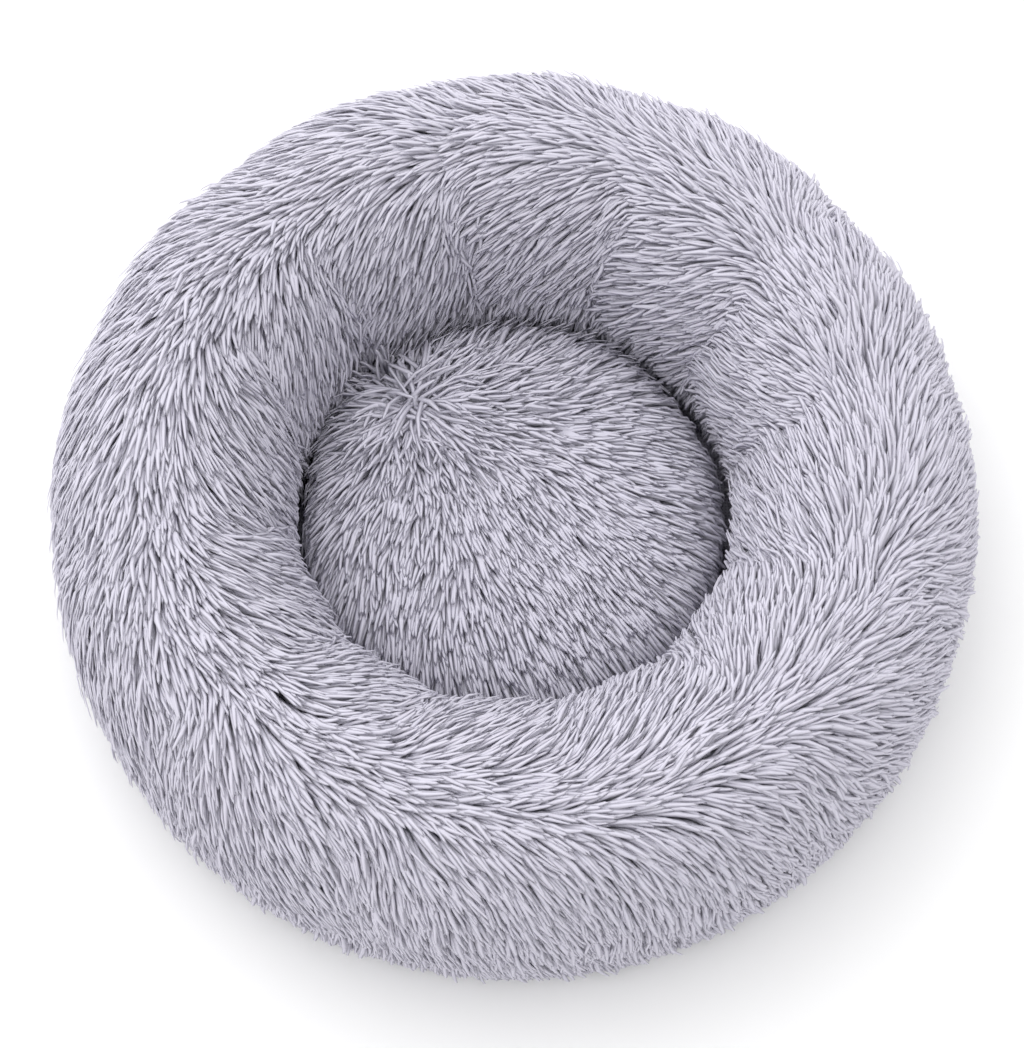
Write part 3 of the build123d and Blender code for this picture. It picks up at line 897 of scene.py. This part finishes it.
LOCK_SPACING = 0.0029
CUSHION_LOCKS = 7950

for number in range(1, GORES + 1):
    gore = pile_mesh(f"rim_fur_{number:02d}", *gore_locks(number, LOCK_SPACING), *gore_cloth(number))
    finish_piece(gore, "bed", "fur", long_pile, f"rim_panel_{number:02d}")

cushion_fur = pile_mesh("cushion_fur", *cushion_locks(CUSHION_LOCKS), *dome_cloth())
finish_piece(cushion_fur, "cushion", "fur", long_pile, "cushion_top")

# ---- bag, stuffing and linings


def inner_ring(name, inset):
    """A closed ring that follows the inside of the rim's cloth."""
    inside = rim_cloth - grid_normals(rim_cloth, True) * inset
    inside[..., 2] = np.maximum(inside[..., 2], FOOT_HEIGHT + inset * 0.5)
    columns, rows = inside.shape[:2]
    return mesh_piece(name, inside.reshape(-1, 3), grid_faces(columns, rows, True, True))


finish_piece(inner_ring("rim_bag", 0.0025), "bed", "inner_cloth", bag_cloth, "rim_liner")
rim_stuffing = finish_piece(inner_ring("rim_stuffing", 0.0040), "bed", "fibre", stuffing, "rim_filling")
dress(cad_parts["cushion_filling"], stuffing)


def underside():
    """The cushion's lower cloth: a dish that meets the fur at the seam."""
    outside = cushion_cloth[:, TOP_ROWS - 1 :]
    inside = outside - grid_normals(cushion_cloth)[:, TOP_ROWS - 1 :] * UNDERSIDE_CLOTH
    return polar_piece("cushion_underside", np.concatenate([inside[:, ::-1], outside], axis=1))


finish_piece(underside(), "cushion", "lining_cloth", lining_cloth, "cushion_bottom")


def sewn_disc(name, radius, low, high, waves):
    """A flat disc of cloth with faint ripples towards its sewn edge."""
    rings, columns = 26, 144
    out = np.linspace(0, 1, rings)[1:] ** 0.8 * radius
    angle = np.arange(columns) * 2 * math.pi / columns
    ripple = lattice_noise(angle[:, None] / (2 * math.pi) * waves, out[None] / 0.05, 31, waves) * 0.5 + 0.5
    ease = np.sin(np.clip(out / radius, 0, 1) * math.pi) * 0.35
    top = high - (high - low) * ease * ripple
    upper, under = (round_bed(angle[:, None], out, height) for height in (top, low))
    return polar_piece(name, np.concatenate([upper, under[:, ::-1]], axis=1))


lining_low, lining_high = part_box("floor_lining")
base_low, base_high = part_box("base_cloth")
well_floor = sewn_disc("well_floor", lining_high.x, lining_low.z, lining_high.z, 36)
finish_piece(well_floor, "bed", "lining_cloth", lining_cloth, "floor_lining")
sole = sewn_disc("sole", base_high.x, base_low.z, base_high.z, 24)
finish_piece(sole, "bed", "base_cloth", base_cloth, "base_cloth")
dress(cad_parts["grip_dots"], grip_rubber)

# ---- pieces shaped by hand


def deselect_all():
    if bpy.context.object and bpy.context.object.mode == "EDIT":
        bpy.ops.object.mode_set(mode="OBJECT")
    bpy.ops.object.select_all(action="DESELECT")


def make_active(piece):
    deselect_all()
    piece.select_set(True)
    bpy.context.view_layer.objects.active = piece


def open_mesh():
    """Opens the active piece for editing, with all of its mesh selected."""
    bpy.ops.object.mode_set(mode="EDIT")
    bpy.ops.mesh.select_all(action="SELECT")


def settle(piece):
    """Puts a piece's place in its mesh, with its faces outwards."""
    make_active(piece)
    bpy.ops.object.transform_apply(location=True, rotation=True, scale=True)
    open_mesh()
    bpy.ops.mesh.remove_doubles(threshold=0.00001)
    bpy.ops.mesh.normals_make_consistent(inside=False)
    bpy.ops.object.mode_set(mode="OBJECT")
    bpy.ops.object.shade_smooth_by_angle(angle=math.radians(40))
    return piece


FULL_TURN = 2 * math.pi


def spun_strip(name, place, lean, width, thickness, start, sweep, steps, corners=12):
    """A rounded strip of tape: its section is drawn as a flattened circle, then spun round the bed."""
    deselect_all()
    bpy.ops.mesh.primitive_circle_add(vertices=corners, radius=1, fill_type="NGON", location=(0, 0, 0))
    piece = bpy.context.object
    piece.name = piece.data.name = name
    for point in piece.data.vertices:
        x, y = point.co.x, point.co.y
        swell = max(abs(x), abs(y)) ** 0.35
        across, through = y * width / 2 / swell**0.2, x * thickness / 2 / swell
        out = place[0] + through * math.cos(lean) + across * math.sin(lean)
        up = place[1] - through * math.sin(lean) + across * math.cos(lean)
        point.co = (out * math.cos(start), out * math.sin(start), up)
    open_mesh()
    bpy.ops.mesh.spin(steps=steps, angle=sweep, center=(0, 0, 0), axis=(0, 0, 1))
    bpy.ops.object.mode_set(mode="OBJECT")
    if sweep == FULL_TURN:
        work = bmesh.new()
        work.from_mesh(piece.data)
        bmesh.ops.delete(work, geom=[f for f in work.faces if len(f.verts) == corners], context="FACES_ONLY")
        work.to_mesh(piece.data)
        work.free()
    return settle(piece)


def run_map(piece, radius):
    """UV map of real lengths: round the bed, and up the wall."""
    layer = piece.data.uv_layers.new(name="run")
    for loop in piece.data.loops:
        spot = piece.data.vertices[loop.vertex_index].co
        angle = math.atan2(spot.y, spot.x) % (2 * math.pi)
        layer.data[loop.index].uv = (angle * radius, spot.z)


def wall_at(height):
    """Radius and lean of the rim's outer wall at a height."""
    _, bend = wall_curve(HALF_WIDTH, FOOT_HALF_WIDTH)
    below = SHOULDER_HEIGHT - height
    return RIM_RADIUS + HALF_WIDTH - bend + math.sqrt(bend**2 - below**2), math.asin(below / bend)


ZIP_START = FIRST_SEAM + GORE_ANGLE
ZIP_SWEEP = len(ZIP_GORES) * GORE_ANGLE
TAPE_THICKNESS = 0.0012
TOOTH_PITCH = 0.0019

for side in ("lower", "upper"):
    low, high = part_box(f"zip_tape_{side}")
    middle = (low.z + high.z) / 2
    radius, lean = wall_at(middle)
    strip = spun_strip(
        f"tape_{side}", (radius - TAPE_THICKNESS / 2, middle), lean, (high.z - low.z) / math.cos(lean),
        TAPE_THICKNESS, ZIP_START, ZIP_SWEEP, 96, 16,
    )
    run_map(strip, radius)
    finish_piece(strip, "bed", "tape", zip_tape, f"zip_tape_{side}")

binding_low, binding_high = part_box("base_binding")
binding = spun_strip(
    "foot_binding", ((FOOT_RADIUS + binding_high.x) / 2, (binding_low.z + binding_high.z) / 2), 0.0,
    binding_high.z - binding_low.z, binding_high.x - FOOT_RADIUS, 0.0, FULL_TURN, 180,
)
run_map(binding, FOOT_RADIUS)
finish_piece(binding, "bed", "tape", zip_tape, "base_binding")


def tooth(height, thickness, along):
    """One moulded tooth at the origin: a block with a rounded head."""
    deselect_all()
    bpy.ops.mesh.primitive_cube_add(size=1, location=(0, 0, 0))
    piece = bpy.context.object
    piece.scale = (thickness, along, height)
    bpy.ops.object.transform_apply(scale=True)
    open_mesh()
    bpy.ops.mesh.bevel(offset=min(along, height, thickness) * 0.28, segments=1, affect="EDGES")
    bpy.ops.object.mode_set(mode="OBJECT")
    return piece


def tooth_row(side, shift):
    """A row of teeth round the zip, each a copy of one tooth."""
    low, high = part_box(f"zip_coil_{side}")
    middle = (low.z + high.z) / 2
    radius, lean = wall_at(middle)
    master = tooth(high.z - low.z, 0.0026, TOOTH_PITCH * 0.62)
    corners = np.array([v.co for v in master.data.vertices])
    faces = [list(f.vertices) for f in master.data.polygons]
    bpy.data.objects.remove(master)
    count = int(ZIP_SWEEP * radius / TOOTH_PITCH) - 1
    points, all_faces = [], []
    for k in range(count):
        angle = ZIP_START + (k + 0.75 + shift) * TOOTH_PITCH / radius
        out = radius + 0.0002 + corners[:, 0] * math.cos(lean) + corners[:, 2] * math.sin(lean)
        up = middle - corners[:, 0] * math.sin(lean) + corners[:, 2] * math.cos(lean)
        x = out * math.cos(angle) - corners[:, 1] * math.sin(angle)
        y = out * math.sin(angle) + corners[:, 1] * math.cos(angle)
        points.append(np.stack([x, y, up], 1))
        all_faces += [[i + k * len(corners) for i in face] for face in faces]
    row = mesh_piece(f"teeth_{side}", np.concatenate(points), all_faces)
    return finish_piece(row, "bed", "teeth", nylon_teeth, f"zip_coil_{side}")


tooth_row("lower", 0.0)
tooth_row("upper", 0.5)


def open_copy(name, node):
    """A copy of a node, open for editing, with its loose triangles merged."""
    piece = add_piece(name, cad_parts[node].data.copy())
    make_active(piece)
    open_mesh()
    bpy.ops.mesh.remove_doubles(threshold=0.000002)
    return piece


def softened_copy(name, node, width):
    """A copy of a hard node with its edges rounded."""
    piece = open_copy(name, node)
    bpy.ops.mesh.dissolve_limited(angle_limit=math.radians(3))
    bpy.ops.object.mode_set(mode="OBJECT")
    bevel = piece.modifiers.new("worn_edges", "BEVEL")
    bevel.width = width
    bevel.segments = 2
    bevel.limit_method = "ANGLE"
    bevel.angle_limit = math.radians(35)
    bevel.use_clamp_overlap = True
    bpy.ops.object.modifier_apply(modifier="worn_edges")
    bpy.ops.object.shade_smooth_by_angle(angle=math.radians(35))
    return piece


for name, node, body, edge in (
    ("slider_body", "zip_slider", "slider", 0.00018),
    ("slider_pull", "zip_pull", "pull", 0.00018),
    ("stop_closed", "zip_stop_closed", "bed", 0.0001),
    ("stop_open", "zip_stop_open", "bed", 0.0001),
):
    finish_piece(softened_copy(name, node, edge), body, "zip_metal", satin_nickel, node)


def piping_cord():
    """The twisted cord sewn into the cushion's seam."""
    low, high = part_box("cushion_piping")
    radius, middle = (high.z - low.z) / 2, (low.z + high.z) / 2
    deselect_all()
    bpy.ops.mesh.primitive_torus_add(
        major_radius=high.x - radius, minor_radius=radius, major_segments=240, minor_segments=10,
        location=(0, 0, middle),
    )
    piece = settle(bpy.context.object)
    piece.name = piece.data.name = "seam_cord"
    for point in piece.data.vertices:
        angle = math.atan2(point.co.y, point.co.x)
        outward = Vector((math.cos(angle), math.sin(angle), 0))
        core = outward * (high.x - radius)
        core.z = middle
        off = point.co - core
        turn = math.atan2(off.z, off.dot(outward))
        point.co = core + off * (0.93 + 0.07 * math.cos(2 * (turn - 90 * angle)))
    return piece


finish_piece(piping_cord(), "cushion", "lining_cloth", thread, "cushion_piping")


def care_label():
    """A blank folded satin label that hangs from the cushion's seam with a slight curl."""
    low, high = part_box("care_label")
    piece = open_copy("blank_label", "care_label")
    bpy.ops.mesh.subdivide(number_cuts=5)
    bpy.ops.object.mode_set(mode="OBJECT")
    span = high.z - low.z
    angle = math.atan2((low.y + high.y) / 2, (low.x + high.x) / 2)
    outward = Vector((math.cos(angle), math.sin(angle), 0))
    side = Vector((-math.sin(angle), math.cos(angle), 0))
    for point in piece.data.vertices:
        down = (high.z - point.co.z) / span
        across = point.co.dot(side) / 0.011
        point.co += outward * (-0.0022 * down**2 + 0.0007 * math.sin(across * 2.2) * down)
    bpy.ops.object.shade_smooth_by_angle(angle=math.radians(40))
    return piece


finish_piece(care_label(), "cushion", "label", label_satin, "care_label")

# ---- floor, light and camera

bpy.ops.mesh.primitive_plane_add(size=60, location=(0, 0, -0.0002))
floor = bpy.context.active_object
floor.name = "floor"
pale = Finish("pale_floor", 0.9, 0.1)
cloud = pale.noise(pale.object_place(), 3.0, 2.0)
pale.colour(pale.ramp(cloud, (0.3, grey(0.93)), (0.7, grey(0.95))))
dress(floor, pale.material)
make_active(floor)
bpy.ops.object.transform_apply(location=True, rotation=True, scale=True)

world = bpy.data.worlds.new("soft_light")
bpy.context.scene.world = world
world.use_nodes = True
sky = world.node_tree
backdrop = sky.nodes["Background"]
backdrop.inputs["Color"].default_value = (1, 1, 1, 1)
direction = sky.nodes.new("ShaderNodeTexCoord")
towards = sky.nodes.new("ShaderNodeVectorMath")
towards.operation = "DOT_PRODUCT"
towards.inputs[1].default_value = (-0.26, 0.34, 0.78)
sky.links.new(direction.outputs["Generated"], towards.inputs[0])
brighter = sky.nodes.new("ShaderNodeMath")
brighter.inputs[1].default_value = 0.74
sky.links.new(towards.outputs["Value"], brighter.inputs[0])
sky.links.new(brighter.outputs["Value"], backdrop.inputs["Strength"])


def soft_box(name, place, size, power):
    lamp = bpy.data.lights.new(name, "AREA")
    lamp.shape = "DISK"
    lamp.size = size
    lamp.energy = power
    holder = bpy.data.objects.new(name, lamp)
    holder.location = place
    holder.rotation_euler = (-Vector(place)).to_track_quat("-Z", "Y").to_euler()
    bpy.context.scene.collection.objects.link(holder)


soft_box("key", (-1.1, 1.5, 2.7), 2.6, 16)

ELEVATION = math.radians(70)
DISTANCE = 2.0
VIEW_WIDTH = 0.6525
lens = bpy.data.cameras.new("camera")
lens.sensor_fit = "HORIZONTAL"
lens.sensor_width = 36
lens.lens = 36 * DISTANCE / VIEW_WIDTH
camera = bpy.data.objects.new("camera", lens)
target = Vector((-0.0015, -0.0115, 0.085))
camera.location = target + DISTANCE * Vector((0, -math.cos(ELEVATION), math.sin(ELEVATION)))
camera.rotation_euler = (target - camera.location).to_track_quat("-Z", "Y").to_euler()
bpy.context.scene.collection.objects.link(camera)
bpy.context.scene.camera = camera
bpy.context.scene.view_settings.view_transform = "Standard"
